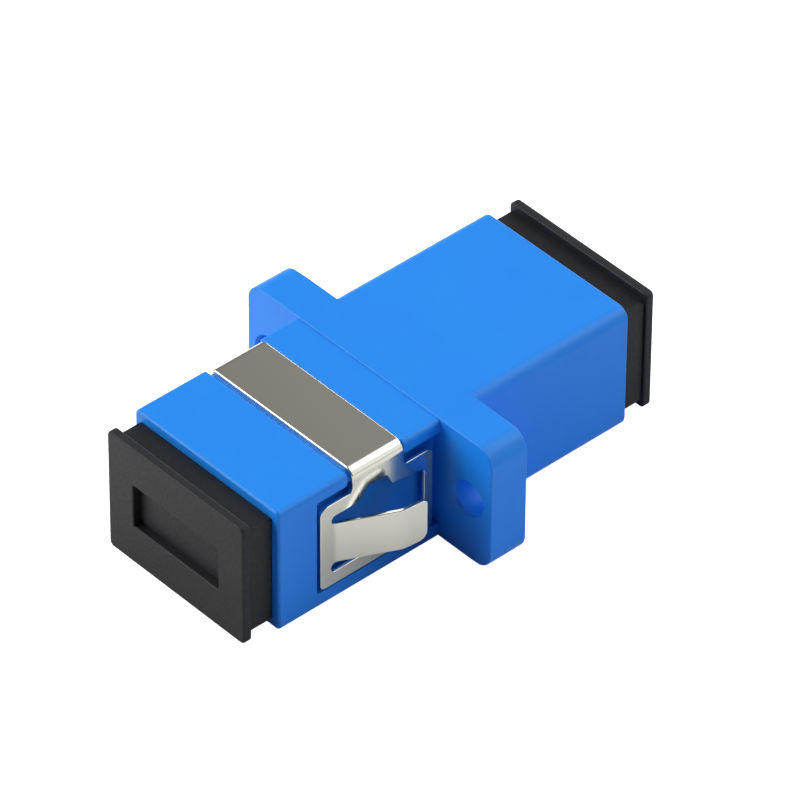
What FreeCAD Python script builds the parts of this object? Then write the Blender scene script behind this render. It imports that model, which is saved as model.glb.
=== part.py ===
import FreeCAD, Part
import math
import os

# A fibre adapter that joins two plugs nose to nose through a panel. Millimetres, +Z up.
# +Y is the optical axis and points from the panel to the rear port. The origin is on the
# axis, at the flange's front face, where the panel seats.

V = FreeCAD.Vector
os.makedirs("parts", exist_ok=True)

# Housing halves, each mouth half_length away from the plane where the ferrules meet
body_width = 13.0
body_height = 9.3
half_length = 14.15
front_top_step = 0.08
front_edge_radius = 0.35
rear_edge_radius = 0.8
front_rim_radius = 0.18
rear_rim_radius = 0.1

# Flange
flange_width = 22.0
flange_thickness = 2.9
ear_corner_radius = 1.3
hole_setback = 2.0
hole_diameter = 2.4
hole_chamfer = 0.15

# Port for a plug
plug_width = 9.0
plug_height = 7.4
plug_clearance = 0.05
port_corner_radius = 0.3
lead_in = 0.15
key_slot_width = 2.3
key_slot_length = 5.0

# Split ceramic sleeve
ferrule_diameter = 2.5
sleeve_wall = 0.35
sleeve_length = 11.4
sleeve_slit = 0.5
sleeve_chamfer = 0.1
sleeve_float = 0.12
sleeve_end_play = 0.1

# Latch holders
base_thickness = 1.2
base_width = 10.6
base_height = 7.9
base_corner_radius = 0.5
base_side_clearance = 0.05
base_end_clearance = 0.05
tube_wall = 0.58
tube_root_chamfer = 0.3
tube_tip_chamfer = 0.25
tube_lip = 0.7
lip_bore_clearance = 0.15
arm_half_gap = 3.5
arm_root_thickness = 0.95
arm_tip_thickness = 0.75
arm_height = 3.0
arm_length = 7.2
arm_root_fillet = 0.3
arm_tip_radius = 0.12
hook_depth = 0.6
hook_length = 1.3
hook_back_rise = 0.2
hook_flat = 0.25
hook_radius = 0.1
arm_height_room = 0.4
arm_end_room = 1.2

# Panel clip, one piece folded from sheet
sheet = 0.25
bend_radius = 0.45
bend_clearance = 0.05
band_setback = 2.95
band_width = 4.1
band_gap = 0.4
plate_front = 9.6
plate_rear = 0.65
plate_bottom = -3.4
front_shoulder_height = 2.95
rear_shoulder_height = 2.8
plate_corner_radius = 0.35
shoulder_corner_radius = 0.6
neck_radius = 0.3
window_front = 8.4
window_rear = 1.3
window_bottom = -2.45
window_corner_radius = 0.3
window_step_radius = 0.15
window_slot_top = 1.92
window_arch_top = 2.74
window_arch_front = 5.7
window_arch_rear = 4.3
window_arch_slope = 0.45
window_rear_top = 1.5
window_rear_rise = 0.35
tongue_top = 1.3
tongue_bottom = -1.75
tongue_spread = 1.84
tongue_kink = 4.6
tongue_end = 2.85
tongue_end_rise = 0.2
tongue_root_radius = 0.8
tongue_kink_radius = 1.2
tongue_top_corner = 0.3
tongue_bottom_corner = 0.65

# Seats for the clip in the front housing
recess_depth = 0.65
recess_wall = 0.4
recess_front_gap = 0.27
recess_bottom_gap = 0.1
recess_top = 3.68
recess_corner_radius = 0.12

# Dust caps
cap_shoulder_side_step = 1.4
cap_shoulder_top_step = 0.2
cap_shoulder_length = 1.85
cap_shoulder_radius = 0.15
cap_lip_side_step = 0.2
cap_lip_top_step = 0.575
cap_lip_thickness = 0.65
cap_lip_corner_radius = 0.35
cap_lip_edge = 0.16
cap_pocket_width = 7.7
cap_pocket_height = 3.2
cap_pocket_depth = 0.6
cap_pocket_radius = 0.12
cap_plug_clearance = 0.1
cap_plug_length = 5.2
cap_plug_taper = 0.1
cap_plug_nose = 0.35
cap_wall = 0.85
cap_web = 0.8

# A cutting shape runs this far past the face that it opens
overcut = 1.0

# Sizes that follow from the ones above
top = body_height / 2
front_top = top - front_top_step
side = body_width / 2
mid_plane = base_thickness + base_end_clearance
front_length = half_length - mid_plane
rear_length = half_length + mid_plane
port_width = plug_width + 2 * plug_clearance
port_height = plug_height + 2 * plug_clearance
hole_pitch = flange_width - 2 * hole_setback
sleeve_inner = ferrule_diameter / 2
sleeve_outer = sleeve_inner + sleeve_wall
tube_bore = sleeve_outer + sleeve_float
tube_outer = tube_bore + tube_wall
tube_shoulder = sleeve_length / 2 + sleeve_end_play
tube_length = tube_shoulder + tube_lip
lip_bore = sleeve_inner + lip_bore_clearance
pocket_width = base_width + 2 * base_side_clearance
pocket_height = base_height + 2 * base_side_clearance
pocket_depth = mid_plane + base_thickness
arm_reach = base_thickness + arm_length
band_front = band_setback + band_width
recess_floor = side - recess_depth
recess_front = plate_front + recess_front_gap
recess_bottom = plate_bottom - recess_bottom_gap
arm_room_width = 2 * (recess_floor - recess_wall)
cap_shoulder_width = port_width + 2 * cap_shoulder_side_step
cap_shoulder_height = port_height + 2 * cap_shoulder_top_step
cap_lip_width = cap_shoulder_width + 2 * cap_lip_side_step
cap_lip_height = cap_shoulder_height + 2 * cap_lip_top_step


# Drawing helpers
def place_xz(y):
    return lambda a, b: V(a, y, b)


def place_yz(x):
    return lambda a, b: V(x, a, b)


def place_xy(z):
    return lambda a, b: V(a, b, z)


def rounded_wire(points, radii, place):
    """Closed outline through the points, each corner rounded by its own radius."""
    count = len(points)
    spans = []
    for i in range(count):
        corner = V(points[i][0], points[i][1], 0)
        before = V(points[i - 1][0], points[i - 1][1], 0)
        after = V(points[(i + 1) % count][0], points[(i + 1) % count][1], 0)
        if radii[i] <= 0:
            spans.append((corner, None, corner))
            continue
        to_before = (before - corner).normalize()
        to_after = (after - corner).normalize()
        half_angle = to_before.getAngle(to_after) / 2
        cut_back = radii[i] / math.tan(half_angle)
        inward = (to_before + to_after).normalize()
        middle = corner + inward * (radii[i] / math.sin(half_angle) - radii[i])
        spans.append((corner + to_before * cut_back, middle, corner + to_after * cut_back))
    edges = []
    for i in range(count):
        start, middle, end = [p and place(p.x, p.y) for p in spans[i]]
        if middle is not None:
            edges.append(Part.Arc(start, middle, end).toShape())
        next_start = spans[(i + 1) % count][0]
        next_start = place(next_start.x, next_start.y)
        if (next_start - end).Length > 1e-6:
            edges.append(Part.makeLine(end, next_start))
    return Part.Wire(edges)


def prism(points, radii, place, direction):
    if not isinstance(radii, (list, tuple)):
        radii = [radii] * len(points)
    return Part.Face(rounded_wire(points, radii, place)).extrude(direction)


def rectangle(width, height):
    a = width / 2
    b = height / 2
    return [(-a, -b), (a, -b), (a, b), (-a, b)]


def bar(width, height, radius, y_start, y_end):
    """Bar along Y with rounded long edges."""
    return prism(rectangle(width, height), radius, place_xz(y_start), V(0, y_end - y_start, 0))


def tapered_bar(width_a, height_a, width_b, height_b, radius, y_start, y_end):
    wires = [
        rounded_wire(rectangle(width_a, height_a), [radius] * 4, place_xz(y_start)),
        rounded_wire(rectangle(width_b, height_b), [radius] * 4, place_xz(y_end)),
    ]
    return Part.makeLoft(wires, True, True)


def turned(points, y_start):
    """Solid turned about the optical axis from (radius, distance) points."""
    corners = [V(r, y_start + d, 0) for r, d in points]
    face = Part.Face(Part.makePolygon(corners + [corners[0]]))
    return face.revolve(V(0, 0, 0), V(0, 1, 0), 360)


def sheet_outline(path, radii, thickness):
    """Points and radii of a folded strip: the path is its outer side, the metal lies to its left."""
    lines = []
    for i in range(len(path) - 1):
        a = V(path[i][0], path[i][1], 0)
        b = V(path[i + 1][0], path[i + 1][1], 0)
        along = (b - a).normalize()
        across = V(-along.y, along.x, 0)
        lines.append((a + across * thickness, b + across * thickness, along))
    inner = [(lines[0][0].x, lines[0][0].y)]
    inner_radii = [0]
    for i in range(1, len(path) - 1):
        p, d = lines[i - 1][1], lines[i - 1][2]
        q, e = lines[i][0], lines[i][2]
        turn = d.x * e.y - d.y * e.x
        step = ((q.x - p.x) * e.y - (q.y - p.y) * e.x) / turn
        meet = p + d * step
        inner.append((meet.x, meet.y))
        inner_radii.append(radii[i] - thickness if turn > 0 else radii[i] + thickness)
    inner.append((lines[-1][1].x, lines[-1][1].y))
    inner_radii.append(0)
    return list(path) + inner[::-1], list(radii) + inner_radii[::-1]


def round_end(shape, y, radius):
    """Rounds every edge of the end face at y."""
    rim = [e for e in shape.Edges if all(abs(v.Y - y) < 1e-6 for v in e.Vertexes)]
    return shape.makeFillet(radius, rim)


def turned_about(shape):
    """The same piece facing the other port."""
    other = shape.copy()
    other.rotate(V(0, mid_plane, 0), V(0, 0, 1), 180)
    return other


# Port cut for one housing half: bore, lead-in, key slot and room for the latch arms
def port_cut(mouth, inner_end):
    out = 1 if mouth > inner_end else -1
    cut = bar(port_width, port_height, port_corner_radius, inner_end - out, mouth + out)
    flare = tapered_bar(
        port_width, port_height,
        port_width + 4 * lead_in, port_height + 4 * lead_in,
        port_corner_radius, mouth - out * lead_in, mouth + out * lead_in,
    )
    key = prism(
        [
            (-key_slot_width / 2, -body_height),
            (key_slot_width / 2, -body_height),
            (key_slot_width / 2, 0),
            (-key_slot_width / 2, 0),
        ],
        0, place_xz(mouth - out * key_slot_length), V(0, out * (key_slot_length + overcut), 0),
    )
    arm_room = bar(
        arm_room_width, arm_height + 2 * arm_height_room, port_corner_radius,
        inner_end, mid_plane + out * (arm_reach + arm_end_room),
    )
    return cut.fuse([flare, key, arm_room])


# Front housing half, with the seats for the clip
def make_front_housing():
    section = [(-side, -top), (side, -top), (side, front_top), (-side, front_top)]
    body = prism(section, front_edge_radius, place_xz(-front_length), V(0, front_length, 0))
    body = round_end(body, -front_length, front_rim_radius)
    body = body.cut(port_cut(-front_length, 0))

    core_side = side - sheet
    core_top = front_top - sheet
    core = prism(
        [(-core_side, -top), (core_side, -top), (core_side, core_top), (-core_side, core_top)],
        [0, 0, bend_radius + bend_clearance, bend_radius + bend_clearance],
        place_xz(-band_front - band_gap - overcut), V(0, band_width + band_gap + 2 * overcut, 0),
    )
    groove = prism(
        [
            (-side - overcut, recess_top),
            (side + overcut, recess_top),
            (side + overcut, top + overcut),
            (-side - overcut, top + overcut),
        ],
        0, place_xz(-band_front - band_gap), V(0, band_width + band_gap, 0),
    )
    body = body.cut(groove.cut(core))

    for hand in (1, -1):
        recess = prism(
            [
                (-recess_front, recess_bottom),
                (overcut, recess_bottom),
                (overcut, recess_top),
                (-recess_front, recess_top),
            ],
            [recess_corner_radius, 0, 0, recess_corner_radius],
            place_yz(hand * recess_floor), V(hand * (recess_depth + overcut), 0, 0),
        )
        body = body.cut(recess)
    return body


# Rear housing half, with the flange and the pocket that holds the latch holders
def make_rear_housing():
    body = bar(body_width, body_height, rear_edge_radius, 0, rear_length)
    body = round_end(body, rear_length, rear_rim_radius)
    flange = bar(flange_width, body_height, ear_corner_radius, 0, flange_thickness)
    body = body.fuse(flange).removeSplitter()

    hole = hole_diameter / 2
    rim = hole + hole_chamfer
    drill = turned(
        [
            (0, -hole_chamfer),
            (rim + hole_chamfer, -hole_chamfer),
            (hole, hole_chamfer),
            (hole, flange_thickness - hole_chamfer),
            (rim + hole_chamfer, flange_thickness + hole_chamfer),
            (0, flange_thickness + hole_chamfer),
        ],
        0,
    )
    for hand in (1, -1):
        ear_drill = drill.copy()
        ear_drill.translate(V(hand * hole_pitch / 2, 0, 0))
        body = body.cut(ear_drill)

    pocket_radius = base_corner_radius + base_side_clearance
    pocket = bar(pocket_width, pocket_height, pocket_radius, -1, pocket_depth)
    body = body.cut(pocket)
    return body.cut(port_cut(rear_length, pocket_depth))


# Latch holder for the rear port: base plate, ferrule tube and two hooked arms, moulded in one
def make_latch_holder():
    plate_end = base_thickness
    plate = bar(base_width, base_height, base_corner_radius, mid_plane, mid_plane + plate_end)
    tube = turned(
        [
            (0, base_thickness / 2),
            (tube_outer + tube_root_chamfer, base_thickness / 2),
            (tube_outer + tube_root_chamfer, base_thickness),
            (tube_outer, base_thickness + tube_root_chamfer),
            (tube_outer, tube_length - tube_tip_chamfer),
            (tube_outer - tube_tip_chamfer, tube_length),
            (0, tube_length),
        ],
        mid_plane,
    )

    arm_in = arm_half_gap
    root_out = arm_in + arm_root_thickness
    tip_out = arm_in + arm_tip_thickness
    hook_in = arm_in - hook_depth
    start = mid_plane + base_thickness
    hook_back = mid_plane + arm_reach - hook_length
    arm_end = mid_plane + arm_reach
    arm_points = [
        (arm_in, start - base_thickness / 2),
        (root_out + arm_root_fillet, start - base_thickness / 2),
        (root_out + arm_root_fillet, start),
        (root_out, start + arm_root_fillet),
        (tip_out, arm_end),
        (arm_in, arm_end),
        (hook_in, hook_back + hook_back_rise + hook_flat),
        (hook_in, hook_back + hook_back_rise),
        (arm_in, hook_back),
    ]
    arm_radii = [
        0, 0, 0, arm_root_fillet, arm_tip_radius, arm_tip_radius,
        hook_radius, hook_radius, hook_radius,
    ]
    low = -arm_height / 2
    arm = prism(arm_points, arm_radii, place_xy(low), V(0, 0, arm_height))
    arm_window = prism(
        [
            (hook_in, mid_plane - overcut),
            (arm_in, mid_plane - overcut),
            (arm_in, start + overcut),
            (hook_in, start + overcut),
        ],
        0, place_xy(low), V(0, 0, arm_height),
    )
    mirrored = [s.mirror(V(0, 0, 0), V(1, 0, 0)) for s in (arm, arm_window)]

    holder = plate.cut(arm_window).cut(mirrored[1])
    holder = holder.fuse([tube, arm, mirrored[0]]).removeSplitter()
    bore = turned(
        [
            (0, -1),
            (tube_bore, -1),
            (tube_bore, tube_shoulder),
            (lip_bore, tube_shoulder),
            (lip_bore, tube_length - tube_tip_chamfer),
            (lip_bore + 2 * tube_tip_chamfer, tube_length + tube_tip_chamfer),
            (0, tube_length + tube_tip_chamfer),
        ],
        mid_plane,
    )
    return holder.cut(bore)


# Alignment sleeve: a ceramic tube slit along its top
def make_sleeve():
    half = sleeve_length / 2
    tube = turned(
        [
            (sleeve_inner + sleeve_chamfer, -half),
            (sleeve_outer - sleeve_chamfer, -half),
            (sleeve_outer, -half + sleeve_chamfer),
            (sleeve_outer, half - sleeve_chamfer),
            (sleeve_outer - sleeve_chamfer, half),
            (sleeve_inner + sleeve_chamfer, half),
            (sleeve_inner, half - sleeve_chamfer),
            (sleeve_inner, -half + sleeve_chamfer),
        ],
        mid_plane,
    )
    slit = prism(
        [
            (-sleeve_slit / 2, 0),
            (sleeve_slit / 2, 0),
            (sleeve_slit / 2, sleeve_outer + overcut),
            (-sleeve_slit / 2, sleeve_outer + overcut),
        ],
        0, place_xz(mid_plane - half - overcut), V(0, sleeve_length + 2 * overcut, 0),
    )
    return tube.cut(slit)


# Panel clip: a folded band, cut to outline, with a window and a sprung tongue in each side
def make_clip():
    fold_path = [(side, plate_bottom), (side, front_top), (-side, front_top), (-side, plate_bottom)]
    outer_bend = bend_radius + sheet
    points, radii = sheet_outline(fold_path, [0, outer_bend, outer_bend, 0], sheet)
    length = plate_front - plate_rear
    folded = prism(points, radii, place_xz(-plate_front), V(0, length, 0))

    blank = [
        (-plate_front, plate_bottom),
        (-plate_rear, plate_bottom),
        (-plate_rear, rear_shoulder_height),
        (-band_setback, rear_shoulder_height),
        (-band_setback, top + overcut),
        (-band_front, top + overcut),
        (-band_front, front_shoulder_height),
        (-plate_front, front_shoulder_height),
    ]
    blank_radii = [
        plate_corner_radius, plate_corner_radius, plate_corner_radius, neck_radius,
        0, 0, neck_radius, shoulder_corner_radius,
    ]
    outline = prism(blank, blank_radii, place_yz(-side - overcut), V(body_width + 2 * overcut, 0, 0))
    clip = folded.common(outline)

    slot_low = window_slot_top - tongue_top
    slot_foot = tongue_bottom - window_bottom
    window = [
        (-window_front, window_bottom),
        (-window_rear, window_bottom),
        (-window_rear, window_rear_top),
        (-window_arch_rear + window_arch_slope, window_rear_top + window_rear_rise),
        (-window_arch_rear, window_arch_top),
        (-window_arch_front, window_arch_top),
        (-window_arch_front - 2 * window_arch_slope, window_slot_top),
        (-window_front, window_slot_top),
    ]
    corner = window_corner_radius
    step = window_step_radius
    window_radii = [0, corner, corner, step, step, corner, corner, 0]
    opening = prism(window, window_radii, place_yz(-side - overcut), V(body_width + 2 * overcut, 0, 0))
    slot_ends = []
    for height, size in (
        (tongue_top + slot_low / 2, slot_low / 2),
        (window_bottom + slot_foot / 2, slot_foot / 2),
    ):
        centre = V(-side - overcut, -window_front, height)
        slot_ends.append(Part.makeCylinder(size, body_width + 2 * overcut, centre, V(1, 0, 0)))
    clip = clip.cut(opening.fuse(slot_ends))

    # The tongue starts inside the plate, far enough back for its first bend
    slope = math.atan2(tongue_spread, window_front - tongue_kink)
    lap = (tongue_root_radius + sheet) * math.tan(slope / 2) + sheet / 4
    tongue_path = [
        (side, -window_front - lap),
        (side, -window_front),
        (side + tongue_spread, -tongue_kink),
        (side + tongue_spread + tongue_end_rise, -tongue_end),
    ]
    points, radii = sheet_outline(tongue_path, [0, tongue_root_radius, tongue_kink_radius, 0], sheet)
    tongue = prism(points, radii, place_xy(tongue_bottom), V(0, 0, tongue_top - tongue_bottom))
    trim = prism(
        [
            (-plate_front, tongue_bottom),
            (-tongue_end, tongue_bottom),
            (-tongue_end, tongue_top),
            (-plate_front, tongue_top),
        ],
        [0, tongue_bottom_corner, tongue_top_corner, 0],
        place_yz(0), V(2 * side, 0, 0),
    )
    tongue = tongue.common(trim)
    other_tongue = tongue.mirror(V(0, 0, 0), V(1, 0, 0))
    return clip.fuse([tongue, other_tongue]).removeSplitter()


# Dust cap for the rear port: lip with a shallow pocket, shoulder and hollow plug
def make_cap():
    seat = rear_length
    lip_start = seat + cap_shoulder_length
    lip_end = lip_start + cap_lip_thickness
    lip = bar(cap_lip_width, cap_lip_height, cap_lip_corner_radius, lip_start, lip_end)
    lip = round_end(lip, lip_end, cap_lip_edge)
    shoulder = bar(cap_shoulder_width, cap_shoulder_height, cap_shoulder_radius, seat, lip_start)

    plug_w = port_width - 2 * cap_plug_clearance
    plug_h = port_height - 2 * cap_plug_clearance
    nose_w = plug_w - 2 * cap_plug_taper
    nose_h = plug_h - 2 * cap_plug_taper
    nose_start = seat - cap_plug_length + cap_plug_nose
    plug = tapered_bar(nose_w, nose_h, plug_w, plug_h, port_corner_radius, nose_start, seat)
    nose = tapered_bar(
        nose_w - 2 * cap_plug_nose, nose_h - 2 * cap_plug_nose, nose_w, nose_h,
        port_corner_radius, seat - cap_plug_length, nose_start,
    )
    cap = shoulder.fuse([lip, plug, nose]).removeSplitter()

    hollow_end = lip_end - cap_pocket_depth - cap_web
    hollow = bar(
        nose_w - 2 * cap_wall, nose_h - 2 * cap_wall, port_corner_radius,
        seat - cap_plug_length - overcut, hollow_end,
    )
    pocket = bar(
        cap_pocket_width, cap_pocket_height, cap_pocket_radius,
        lip_end - cap_pocket_depth, lip_end + overcut,
    )
    return cap.cut(hollow).cut(pocket)


def save(node, shape):
    shape.Solids[0].exportStep("parts/" + node + ".step")


rear_holder = make_latch_holder()
rear_cap = make_cap()

save("front_housing", make_front_housing())
save("rear_housing", make_rear_housing())
save("rear_latch_holder", rear_holder)
save("front_latch_holder", turned_about(rear_holder))
save("alignment_sleeve", make_sleeve())
save("panel_clip", make_clip())
save("rear_dust_cap", rear_cap)
save("front_dust_cap", turned_about(rear_cap))
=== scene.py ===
import bmesh
import bpy
import math
from mathutils import Matrix, Vector


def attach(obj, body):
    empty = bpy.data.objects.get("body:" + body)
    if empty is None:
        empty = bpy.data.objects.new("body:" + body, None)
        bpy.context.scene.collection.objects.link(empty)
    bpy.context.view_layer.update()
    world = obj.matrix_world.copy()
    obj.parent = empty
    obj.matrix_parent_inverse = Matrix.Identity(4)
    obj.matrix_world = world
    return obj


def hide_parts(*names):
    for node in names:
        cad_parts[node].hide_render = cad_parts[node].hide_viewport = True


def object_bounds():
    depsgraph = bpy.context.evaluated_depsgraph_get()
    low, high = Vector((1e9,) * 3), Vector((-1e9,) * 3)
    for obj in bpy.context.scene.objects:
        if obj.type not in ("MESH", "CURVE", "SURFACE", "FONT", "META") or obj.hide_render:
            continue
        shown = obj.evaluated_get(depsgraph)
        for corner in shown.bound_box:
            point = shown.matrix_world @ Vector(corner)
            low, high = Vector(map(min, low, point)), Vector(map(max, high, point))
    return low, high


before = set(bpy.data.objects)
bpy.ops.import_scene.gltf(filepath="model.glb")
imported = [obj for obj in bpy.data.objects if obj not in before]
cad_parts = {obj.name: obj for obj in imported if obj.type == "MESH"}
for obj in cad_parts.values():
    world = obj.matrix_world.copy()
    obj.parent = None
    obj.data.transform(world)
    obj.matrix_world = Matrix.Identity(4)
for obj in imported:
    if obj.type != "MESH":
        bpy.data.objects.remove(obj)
cad_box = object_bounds()

# A fibre adapter: two welded blue housing halves, a folded steel panel clip, two black dust caps,
# and inside them two pale latch holders and a white ceramic sleeve. Sizes are in metres.
MM = 0.001

# The photograph's viewing angle, worked out from the edges of the flange, housing and caps
AZIMUTH = math.radians(47.685)
ELEVATION = math.radians(40.288)
ROLL = math.radians(0.384)
CAMERA_DISTANCE = 471.37 * MM
CAMERA_SIDEWAYS = 1.942 * MM
CAMERA_UPWARDS = 1.570 * MM
LENS = 350.66
SENSOR = 36.0

# Places on the adapter in millimetres, from the optical axis at the flange's front face
FLANGE_THICKNESS = 2.9
BODY_HALF_WIDTH = 6.5
# The clip's two round folds: the place of the centre and the outer radius
FOLD_ACROSS = 5.8
FOLD_UP = 3.87
FOLD_RADIUS = 0.7
# Along the axis, the two caps mirror each other about this place
CAP_MIDDLE = 1.25
# Further from it than this, a cap is outside its port
CAP_OUTSIDE = 14.0
# The end of an edge is at a place when it lies this close to it
NEAR = 0.01

# The radii on the outer edges, and the number of strips that draw each
FRONT_HOUSING_RADIUS = 0.05 * MM
REAR_HOUSING_RADIUS = 0.09 * MM
BAND_RADIUS = 0.09 * MM
PLATE_RADIUS = 0.04 * MM
CAP_RADIUS = 0.12 * MM
RADIUS_STRIPS = 3

# Only edges sharper than this get a radius
SHARP_ABOVE = math.radians(60)
# Faces that meet at a smaller angle than this shade as one
SMOOTH_BELOW = math.radians(35)
# Faces that turn by less than this are one face, and points closer than this are one point
FLAT_BELOW = math.radians(0.5)
MERGE_BELOW = 0.002 * MM

# The values between which most of a noise pattern lies
NOISE_LOW = 0.3
NOISE_HIGH = 0.7

# The white dome round the adapter, and the square of paper under it
DOME_RADIUS = 3
PAPER_SIZE = 4
# The paper that casts shadows lies a little lower, so that it doesn't dim the others
PAPER_DROP = 0.05 * MM
# The mirrored paper's painted glow on either side of the adapter, and how near the adapter its
# painted shade dims it
GLOW_SIDE = 10 * MM
GLOW_LEFT = 0.55
GLOW_RIGHT = 0.14
DIM_REACH = 12 * MM

# The studio's bright walls: direction, strength, tightness of the glow
STUDIO_GLOWS = (
    ((0.15, 0.98, 0.05), 1.3, 2.0),
    ((-0.7, -0.6, 0.3), 1.0, 4.0),
    ((0.7, -0.7, 0.25), 0.1, 8.0),
)

# The soft lights, which face the adapter: name, place, size, watts and colour
SOFTBOXES = (
    ("front_left", (-0.33, -0.38, 0.25), 0.5, 2.1, "#f6f8ff"),
    ("over_left", (-0.36, -0.12, 0.42), 0.4, 0.9, "#ffffff"),
    ("rear_right", (0.42, 0.30, 0.33), 0.6, 0.5, "#edf6ff"),
    ("rear_left", (-0.30, 0.44, 0.07), 0.2, 0.4, "#ffffff"),
    ("rear", (0.12, 0.42, 0.36), 0.5, 1.55, "#e1ecff"),
)


def linear(hex_colour):
    """Linear RGBA from an sRGB hex value."""
    parts = [int(hex_colour[i:i + 2], 16) / 255 for i in (1, 3, 5)]
    return [c / 12.92 if c <= 0.04045 else ((c + 0.055) / 1.055) ** 2.4 for c in parts] + [1.0]


def add_node(tree, kind, settings=None, in_order=(), **by_name):
    """Adds a node. Each input is a value or another node's output. _ stands for a space."""
    node = tree.nodes.new(kind)
    for name, value in (settings or {}).items():
        setattr(node, name, value)
    sockets = [(node.inputs[place], value) for place, value in enumerate(in_order)]
    sockets += [(node.inputs[name.replace("_", " ")], value) for name, value in by_name.items()]
    for socket, value in sockets:
        if isinstance(value, bpy.types.NodeSocket):
            tree.links.new(value, socket)
        else:
            socket.default_value = value
    return node


def new_material(name):
    """A material without nodes, and its node tree."""
    material = bpy.data.materials.new(name)
    material.use_nodes = True
    material.node_tree.nodes.clear()
    return material, material.node_tree


def dress(node_names, material):
    for name in node_names:
        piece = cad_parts[name]
        piece.data.materials.clear()
        piece.data.materials.append(material)


# Moulded PBT, coloured through: a satin skin from a spark-eroded mould
def blue_moulded_pbt():
    material, tree = new_material("blue_moulded_pbt")
    place = add_node(tree, "ShaderNodeTexCoord").outputs["Object"]
    # Pigment drifts a little where the melt flowed
    clouds = add_node(tree, "ShaderNodeTexNoise", Vector=place, Scale=1 / (5 * MM), Detail=2.0)
    colour = add_node(tree, "ShaderNodeValToRGB", Fac=clouds.outputs["Fac"])
    colour.color_ramp.elements[0].position = NOISE_LOW
    colour.color_ramp.elements[0].color = linear("#1f8bee")
    colour.color_ramp.elements[1].position = NOISE_HIGH
    colour.color_ramp.elements[1].color = linear("#208fef")
    # Spark erosion leaves pits about 0.03 mm wide, drawn at 0.15 mm so that they show
    grain = add_node(tree, "ShaderNodeTexNoise", Vector=place, Scale=1 / (0.15 * MM), Detail=2.0)
    rough = add_node(
        tree, "ShaderNodeMapRange", Value=grain.outputs["Fac"],
        From_Min=NOISE_LOW, From_Max=NOISE_HIGH, To_Min=0.3, To_Max=0.38,
    )
    bump = add_node(
        tree, "ShaderNodeBump", Height=grain.outputs["Fac"], Strength=0.12, Distance=0.01 * MM,
    )
    surface = add_node(
        tree, "ShaderNodeBsdfPrincipled",
        Base_Color=colour.outputs["Color"], Roughness=rough.outputs["Result"],
        Normal=bump.outputs["Normal"], IOR=1.52, Specular_IOR_Level=0.3,
    )
    add_node(tree, "ShaderNodeOutputMaterial", Surface=surface.outputs["BSDF"])
    return material


# Moulded low-density polyethylene, carbon black: matt, slightly waxy
def black_moulded_polyethylene():
    material, tree = new_material("black_moulded_polyethylene")
    place = add_node(tree, "ShaderNodeTexCoord").outputs["Object"]
    # The carbon black is spread a little unevenly
    clouds = add_node(tree, "ShaderNodeTexNoise", Vector=place, Scale=1 / (2.5 * MM), Detail=3.0)
    colour = add_node(tree, "ShaderNodeValToRGB", Fac=clouds.outputs["Fac"])
    colour.color_ramp.elements[0].position = NOISE_LOW
    colour.color_ramp.elements[0].color = linear("#1b1a1c")
    colour.color_ramp.elements[1].position = NOISE_HIGH
    colour.color_ramp.elements[1].color = linear("#1f1e20")
    # The mould's fine blasting, about 0.05 mm, is drawn at 0.2 mm so that it shows
    grain = add_node(tree, "ShaderNodeTexNoise", Vector=place, Scale=1 / (0.2 * MM), Detail=2.0)
    rough = add_node(
        tree, "ShaderNodeMapRange", Value=grain.outputs["Fac"],
        From_Min=NOISE_LOW, From_Max=NOISE_HIGH, To_Min=0.5, To_Max=0.62,
    )
    bump = add_node(
        tree, "ShaderNodeBump", Height=grain.outputs["Fac"], Strength=0.15, Distance=0.015 * MM,
    )
    surface = add_node(
        tree, "ShaderNodeBsdfPrincipled",
        Base_Color=colour.outputs["Color"], Roughness=rough.outputs["Result"],
        Normal=bump.outputs["Normal"], IOR=1.5, Specular_IOR_Level=0.34,
    )
    add_node(tree, "ShaderNodeOutputMaterial", Surface=surface.outputs["BSDF"])
    return material


# Stainless spring steel, cold rolled: bright, with fine lines along the rolling direction
def rolled_stainless_sheet():
    material, tree = new_material("rolled_stainless_sheet")
    place = add_node(tree, "ShaderNodeTexCoord").outputs["Object"]
    # Rolling lines run round the fold, so the pattern is stretched across the band
    stretched = add_node(tree, "ShaderNodeMapping", Vector=place, Scale=(0.06, 1.0, 0.06))
    # The lines are about 0.02 mm apart, drawn at 0.12 mm so that they show
    lines = add_node(
        tree, "ShaderNodeTexNoise", Vector=stretched.outputs["Vector"],
        Scale=1 / (0.12 * MM), Detail=3.0,
    )
    rough = add_node(
        tree, "ShaderNodeMapRange", Value=lines.outputs["Fac"],
        From_Min=NOISE_LOW, From_Max=NOISE_HIGH, To_Min=0.1, To_Max=0.16,
    )
    bump = add_node(
        tree, "ShaderNodeBump", Height=lines.outputs["Fac"], Strength=0.05, Distance=0.002 * MM,
    )
    surface = add_node(
        tree, "ShaderNodeBsdfPrincipled",
        Base_Color=linear("#ece9db"), Metallic=1.0, Roughness=rough.outputs["Result"],
        Normal=bump.outputs["Normal"],
    )
    add_node(tree, "ShaderNodeOutputMaterial", Surface=surface.outputs["BSDF"])
    return material


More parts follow.
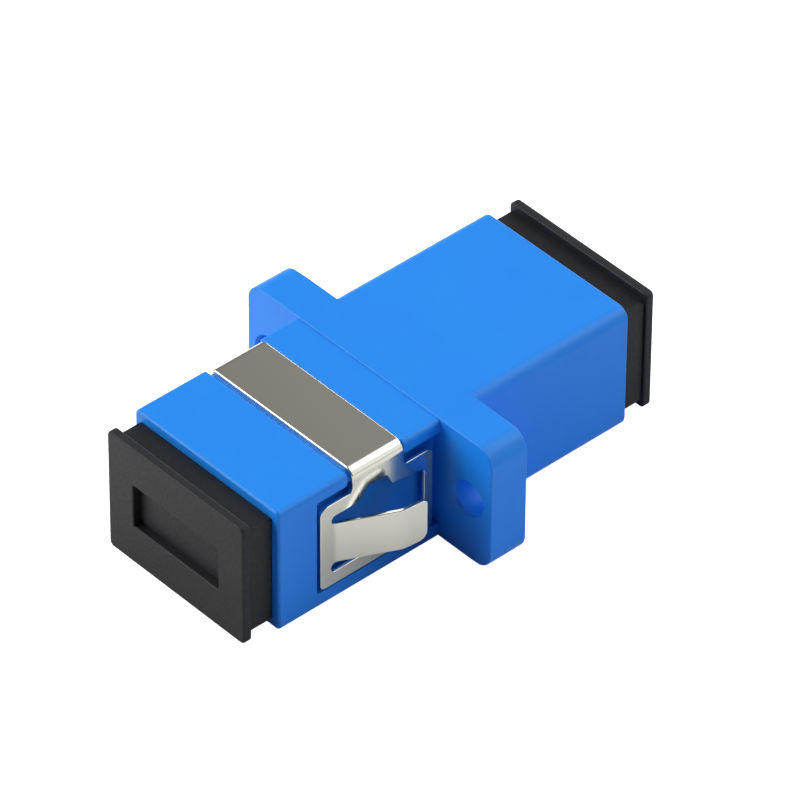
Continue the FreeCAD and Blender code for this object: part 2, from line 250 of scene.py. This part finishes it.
# Moulded acetal, natural colour: creamy, lets a little light in
def natural_moulded_acetal():
    material, tree = new_material("natural_moulded_acetal")
    place = add_node(tree, "ShaderNodeTexCoord").outputs["Object"]
    grain = add_node(tree, "ShaderNodeTexNoise", Vector=place, Scale=1 / (0.15 * MM), Detail=2.0)
    rough = add_node(
        tree, "ShaderNodeMapRange", Value=grain.outputs["Fac"],
        From_Min=NOISE_LOW, From_Max=NOISE_HIGH, To_Min=0.32, To_Max=0.42,
    )
    surface = add_node(
        tree, "ShaderNodeBsdfPrincipled",
        Base_Color=linear("#efebdd"), Roughness=rough.outputs["Result"], IOR=1.48,
        Subsurface_Weight=0.15, Subsurface_Scale=0.4 * MM,
    )
    add_node(tree, "ShaderNodeOutputMaterial", Surface=surface.outputs["BSDF"])
    return material


# Ground and polished zirconia: dense, white and glossy
def polished_zirconia():
    material, tree = new_material("polished_zirconia")
    place = add_node(tree, "ShaderNodeTexCoord").outputs["Object"]
    grain = add_node(tree, "ShaderNodeTexNoise", Vector=place, Scale=1 / (0.1 * MM), Detail=2.0)
    rough = add_node(
        tree, "ShaderNodeMapRange", Value=grain.outputs["Fac"],
        From_Min=NOISE_LOW, From_Max=NOISE_HIGH, To_Min=0.1, To_Max=0.16,
    )
    surface = add_node(
        tree, "ShaderNodeBsdfPrincipled",
        Base_Color=linear("#f4f2ea"), Roughness=rough.outputs["Result"], IOR=2.1,
    )
    add_node(tree, "ShaderNodeOutputMaterial", Surface=surface.outputs["BSDF"])
    return material


# Matt paper under the adapter, with a painted blue tint that stands in for the blue light the
# housing throws back up
def painted_bounce_paper():
    material, tree = new_material("painted_bounce_paper")
    surface = add_node(
        tree, "ShaderNodeBsdfPrincipled", Base_Color=linear("#bcceed"), Roughness=0.9,
    )
    add_node(tree, "ShaderNodeOutputMaterial", Surface=surface.outputs["BSDF"])
    return material


# The paper as gloss mirrors it, drawn as painted light: a painted glow, brighter to the left,
# with painted shade close to the adapter
def painted_reflection_paper():
    material, tree = new_material("painted_reflection_paper")
    place = add_node(tree, "ShaderNodeTexCoord").outputs["Object"]
    across = add_node(tree, "ShaderNodeSeparateXYZ", Vector=place).outputs["X"]
    # Painted light: the paper glows more on the left than on the right
    glow = add_node(
        tree, "ShaderNodeMapRange", Value=across,
        From_Min=-GLOW_SIDE, From_Max=GLOW_SIDE, To_Min=GLOW_LEFT, To_Max=GLOW_RIGHT,
    ).outputs["Result"]
    # Painted shade: the glow dims where the adapter hides the paper from the open studio
    painted_shade_near_adapter = add_node(
        tree, "ShaderNodeAmbientOcclusion", {"samples": 8}, Distance=DIM_REACH,
    ).outputs["AO"]
    painted_glow_and_shade = add_node(
        tree, "ShaderNodeMath", {"operation": "MULTIPLY"}, (glow, painted_shade_near_adapter),
    ).outputs[0]
    surface = add_node(
        tree, "ShaderNodeBsdfPrincipled", Base_Color=linear("#e7e5de"), Roughness=0.9,
        Emission_Color=linear("#fffdf7"), Emission_Strength=painted_glow_and_shade,
    )
    add_node(tree, "ShaderNodeOutputMaterial", Surface=surface.outputs["BSDF"])
    return material


# The even white round a product picture
def even_white():
    material, tree = new_material("even_white")
    surface = add_node(
        tree, "ShaderNodeBsdfPrincipled", Base_Color=linear("#e7e7e7"), Roughness=0.9,
        Emission_Color=linear("#ffffff"), Emission_Strength=1.0,
    )
    add_node(tree, "ShaderNodeOutputMaterial", Surface=surface.outputs["BSDF"])
    return material


def ahead_of_flange(a, b):
    return max(a.y, b.y) < -NEAR


def off_flange_root(a, b):
    """All but the foot of the flange's back, which runs out to nothing at the body's corners."""
    on_back = max(abs(end.y - FLANGE_THICKNESS) for end in (a, b)) < NEAR
    return not (on_back and abs(a.x) < BODY_HALF_WIDTH + NEAR)


def outer_side_of_band(a, b):
    """On top of the clip's band, or on the outer side of a fold."""
    on_top = min(a.z, b.z) > FOLD_UP + FOLD_RADIUS - NEAR
    from_centre = [math.hypot(abs(end.x) - FOLD_ACROSS, end.z - FOLD_UP) for end in (a, b)]
    on_fold = min(a.z, b.z) > FOLD_UP - NEAR and min(from_centre) > FOLD_RADIUS - NEAR
    return on_top or on_fold


def outside_port(a, b):
    return min(abs(a.y - CAP_MIDDLE), abs(b.y - CAP_MIDDLE)) > CAP_OUTSIDE


def shade_by_area(mesh):
    """The wide flat and round faces keep their own shading. Only the narrow strips blend."""
    round_corner = [[] for _ in mesh.vertices]
    for face in mesh.polygons:
        for corner in face.vertices:
            round_corner[corner].append(face)
    shading = [Vector((0, 0, 1))] * len(mesh.loops)
    for face in mesh.polygons:
        for loop in face.loop_indices:
            blend = face.normal * face.area
            for other in round_corner[mesh.loops[loop].vertex_index]:
                if other != face and other.normal.dot(face.normal) > math.cos(SMOOTH_BELOW):
                    blend = blend + other.normal * other.area
            shading[loop] = blend.normalized()
    mesh.normals_split_custom_set(shading)


def finish_edges(node, name, body, passes):
    """A merged copy of a CAD solid stands in for it. Its chosen sharp edges get a small radius.

    Each pass is a radius and a test on an edge's two ends in millimetres, or None for every edge.
    """
    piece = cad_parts[node].copy()
    piece.data = piece.data.copy()
    piece.name = name
    piece.parent = None
    piece.matrix_world = Matrix.Identity(4)
    bpy.context.scene.collection.objects.link(piece)
    bpy.ops.object.select_all(action="DESELECT")
    piece.select_set(True)
    bpy.context.view_layer.objects.active = piece
    bpy.ops.mesh.customdata_custom_splitnormals_clear()
    bpy.ops.object.mode_set(mode="EDIT")
    bpy.ops.mesh.select_all(action="SELECT")
    bpy.ops.mesh.remove_doubles(threshold=MERGE_BELOW)
    bpy.ops.mesh.dissolve_limited(angle_limit=FLAT_BELOW)
    bpy.ops.mesh.select_mode(type="EDGE")
    for radius, chosen in passes:
        bpy.ops.mesh.select_all(action="DESELECT")
        edges = bmesh.from_edit_mesh(piece.data).edges
        for edge in edges:
            if len(edge.link_faces) == 2 and edge.calc_face_angle_signed(0) > SHARP_ABOVE:
                ends = [end.co / MM for end in edge.verts]
                edge.select_set(chosen is None or chosen(*ends))
        bmesh.update_edit_mesh(piece.data)
        bpy.ops.mesh.bevel(offset=radius, segments=RADIUS_STRIPS, clamp_overlap=False)
    # Strips that meet in a corner leave points on top of each other
    bpy.ops.mesh.select_all(action="SELECT")
    bpy.ops.mesh.remove_doubles(threshold=MERGE_BELOW)
    bpy.ops.object.mode_set(mode="OBJECT")
    bpy.ops.object.shade_smooth_by_angle(angle=SMOOTH_BELOW)
    shade_by_area(piece.data)
    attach(piece, body)
    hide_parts(node)


def add_camera():
    camera = bpy.data.objects.new("camera", bpy.data.cameras.new("camera"))
    bpy.context.scene.collection.objects.link(camera)
    back = Vector((
        math.sin(AZIMUTH) * math.cos(ELEVATION),
        -math.cos(AZIMUTH) * math.cos(ELEVATION),
        math.sin(ELEVATION),
    ))
    level = Vector((math.cos(AZIMUTH), math.sin(AZIMUTH), 0))
    upright = back.cross(level)
    right = level * math.cos(ROLL) + upright * math.sin(ROLL)
    up = upright * math.cos(ROLL) - level * math.sin(ROLL)
    place = back * CAMERA_DISTANCE + right * CAMERA_SIDEWAYS + up * CAMERA_UPWARDS
    turn = Matrix((right, up, back)).transposed()
    camera.matrix_world = Matrix.Translation(place) @ turn.to_4x4()
    camera.data.sensor_width = SENSOR
    camera.data.lens = LENS
    camera.data.clip_start = 0.01
    camera.data.clip_end = 20
    bpy.context.scene.camera = camera


def add_backdrop():
    """Paper, once for matt surfaces and once for gloss, and the white that the camera sees."""
    stage = {
        # name: material, then whether the camera, matt surfaces, gloss and shadows meet it
        "paper": (painted_bounce_paper(), False, True, False, True),
        # Seen only in gloss, this paper shows a painted reflection: painted glow with painted
        # shade near the adapter
        "painted_glow_mirrored_paper": (painted_reflection_paper(), False, False, True, False),
        "floor": (even_white(), True, False, False, False),
        "dome": (even_white(), True, False, False, False),
    }
    bpy.ops.object.select_all(action="DESELECT")
    for name, (material, camera, matt, gloss, shadow) in stage.items():
        if name == "dome":
            bpy.ops.mesh.primitive_uv_sphere_add(segments=48, ring_count=24, radius=DOME_RADIUS)
        else:
            height = cad_box[0].z - (PAPER_DROP if shadow else 0)
            bpy.ops.mesh.primitive_plane_add(size=PAPER_SIZE, location=(0, 0, height))
        stage_piece = bpy.context.object
        stage_piece.name = name
        stage_piece.data.materials.append(material)
        stage_piece.visible_camera = camera
        stage_piece.visible_diffuse = matt
        stage_piece.visible_glossy = gloss
        stage_piece.visible_shadow = shadow


def light_walls():
    world = bpy.data.worlds.new("studio")
    bpy.context.scene.world = world
    world.use_nodes = True
    tree = world.node_tree
    tree.nodes.clear()
    direction = add_node(tree, "ShaderNodeTexCoord").outputs["Generated"]
    light = 0.0
    for towards, strength, tightness in STUDIO_GLOWS:
        facing = add_node(
            tree, "ShaderNodeVectorMath", {"operation": "DOT_PRODUCT"},
            (direction, Vector(towards).normalized()),
        ).outputs["Value"]
        ahead = add_node(
            tree, "ShaderNodeMath", {"operation": "MAXIMUM"}, (facing, 0.0),
        ).outputs[0]
        glow = add_node(
            tree, "ShaderNodeMath", {"operation": "POWER"}, (ahead, tightness),
        ).outputs[0]
        light = add_node(
            tree, "ShaderNodeMath", {"operation": "MULTIPLY_ADD"}, (glow, strength, light),
        ).outputs[0]
    background = add_node(
        tree, "ShaderNodeBackground", Color=linear("#ffffff"), Strength=light,
    )
    add_node(tree, "ShaderNodeOutputWorld", Surface=background.outputs["Background"])


def add_softboxes():
    for name, place, size, watts, colour in SOFTBOXES:
        light = bpy.data.lights.new(name, "AREA")
        light.shape = "SQUARE"
        light.size = size
        light.energy = watts
        light.color = linear(colour)[:3]
        lamp = bpy.data.objects.new(name, light)
        lamp.location = place
        lamp.rotation_euler = (-Vector(place)).to_track_quat("-Z", "Y").to_euler()
        bpy.context.scene.collection.objects.link(lamp)


dress(["front_housing", "rear_housing"], blue_moulded_pbt())
dress(["front_dust_cap", "rear_dust_cap"], black_moulded_polyethylene())
dress(["panel_clip"], rolled_stainless_sheet())
dress(["front_latch_holder", "rear_latch_holder"], natural_moulded_acetal())
dress(["alignment_sleeve"], polished_zirconia())

finish_edges("front_housing", "front_housing_moulding", "adapter", [
    (FRONT_HOUSING_RADIUS, ahead_of_flange),
])
finish_edges("rear_housing", "rear_housing_moulding", "adapter", [
    (REAR_HOUSING_RADIUS, off_flange_root),
])
# Blanking rounds the outer edges over, more than the inner ones
finish_edges("panel_clip", "folded_clip", "adapter", [
    (BAND_RADIUS, outer_side_of_band),
    (PLATE_RADIUS, None),
])
# The lip, the shoulder and the pocket's mouth are soft. The plug inside the port stays as it is
finish_edges("front_dust_cap", "front_cap_moulding", "front_cap", [
    (CAP_RADIUS, outside_port),
])
finish_edges("rear_dust_cap", "rear_cap_moulding", "rear_cap", [
    (CAP_RADIUS, outside_port),
])

add_backdrop()
add_camera()
light_walls()
add_softboxes()
# Colours come out as they are set
bpy.context.scene.view_settings.view_transform = "Standard"
